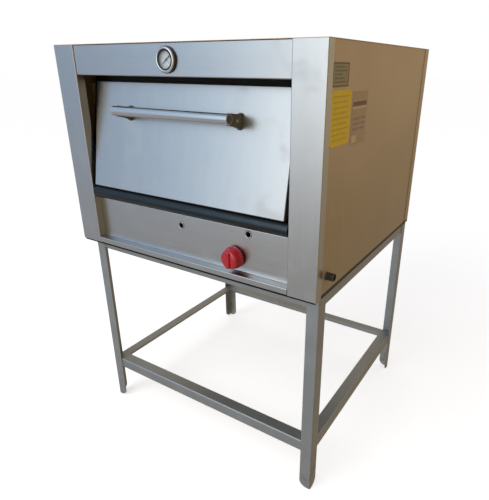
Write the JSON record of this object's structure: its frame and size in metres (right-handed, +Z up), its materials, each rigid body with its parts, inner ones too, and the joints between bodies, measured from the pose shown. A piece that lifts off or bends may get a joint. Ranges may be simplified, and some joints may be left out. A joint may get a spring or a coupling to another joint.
{
  "type": "deck oven",
  "caption": "Single-deck gas oven on an open angle-iron stand, with a drop-down leaning door, bar handle, dial thermometer and gas knob.",
  "frame": {"origin": "centre of the footprint box at floor level", "axes": "+Z up, front of the oven towards -Y, +X to the right seen from the front"},
  "size_m": [0.895, 0.8362, 1.27],
  "materials": {
    "stand_paint": "silver-grey paint, satin",
    "stainless": "fine vertical and horizontal grain",
    "brown_paint": "gold-brown paint, semi-gloss",
    "aluminised": "aluminised sheet, dull",
    "mineral_wool": "loose mineral wool",
    "deck_stone": "fired clay slab, matt",
    "baffle_steel": "dark mill finish",
    "burner_iron": "dark, slightly rusted",
    "brass": "turned, bright",
    "valve_steel": "turned, plated",
    "knob_red": "moulded, glossy",
    "bracket_bronze": "cast, dark bronze paint",
    "chrome": "polished",
    "dial_white": "white enamel",
    "pointer_black": "matt black",
    "lens_glass": "clear flat glass"
  },
  "bodies": {
    "oven": {"leg_front_left": "stand_paint", "leg_front_right": "stand_paint", "leg_rear_left": "stand_paint", "leg_rear_right": "stand_paint", "rail_low_front": "stand_paint", "rail_low_right": "stand_paint", "rail_low_rear": "stand_paint", "rail_low_left": "stand_paint", "rail_top_front": "stand_paint", "rail_top_right": "stand_paint", "rail_top_rear": "stand_paint", "rail_top_left": "stand_paint", "post_left": "stainless", "post_right": "stainless", "header_panel": "stainless", "control_panel": "stainless", "side_panel_left": "brown_paint", "side_panel_right": "brown_paint", "top_cover": "brown_paint", "back_panel": "brown_paint", "bottom_pan": "aluminised", "liner_left": "aluminised", "liner_right": "aluminised", "liner_roof": "aluminised", "liner_back": "aluminised", "insulation_left": "mineral_wool", "insulation_right": "mineral_wool", "insulation_top": "mineral_wool", "insulation_back": "mineral_wool", "mouth_jamb_left": "aluminised", "mouth_jamb_right": "aluminised", "mouth_lintel": "aluminised", "deck_runner_left": "aluminised", "deck_runner_right": "aluminised", "baking_deck": "deck_stone", "flame_baffle": "baffle_steel", "burner_tube": "burner_iron", "burner_rest": "aluminised", "burner_mixer": "burner_iron", "gas_orifice": "brass", "valve_body": "brass", "manifold_pipe": "burner_iron", "flue_collar": "aluminised", "hinge_pin_left": "baffle_steel", "hinge_pin_right": "baffle_steel", "thermometer_case": "chrome", "thermometer_dial": "dial_white", "thermometer_lens": "lens_glass"},
    "door": {"door_skin": "stainless", "door_liner": "aluminised", "door_insulation": "mineral_wool", "hinge_tube": "baffle_steel", "handle_tube": "chrome", "handle_bracket_left": "bracket_bronze", "handle_bracket_right": "bracket_bronze"},
    "knob_slide": {"valve_spring_cup": "valve_steel"},
    "knob": {"knob": "knob_red", "valve_stem": "valve_steel"},
    "pointer": {"thermometer_pointer": "pointer_black"}
  },
  "joints": [
    {"name": "door_hinge", "type": "hinge", "parent": "oven", "child": "door", "pos_m": [-0.01, -0.37717, 0.8495], "axis": [1, 0, 0], "range_deg": [0, 100.8]},
    {"name": "knob_push", "type": "slide", "parent": "oven", "child": "knob_slide", "axis": [0, 1, 0], "range_m": [0, 0.003], "stiffness_N_per_m": 600, "springref_m": -0.003},
    {"name": "knob_turn", "type": "hinge", "parent": "knob_slide", "child": "knob", "pos_m": [0.1685, -0.3704, 0.738], "axis": [0, -1, 0], "range_deg": [0, 180]},
    {"name": "pointer_turn", "type": "hinge", "parent": "oven", "child": "pointer", "pos_m": [-0.01, -0.3909, 1.22955], "axis": [0, 1, 0], "range_deg": [0, 250], "stiffness_Nm_per_rad": 0.001, "springref_deg": -11.46}
  ]
}
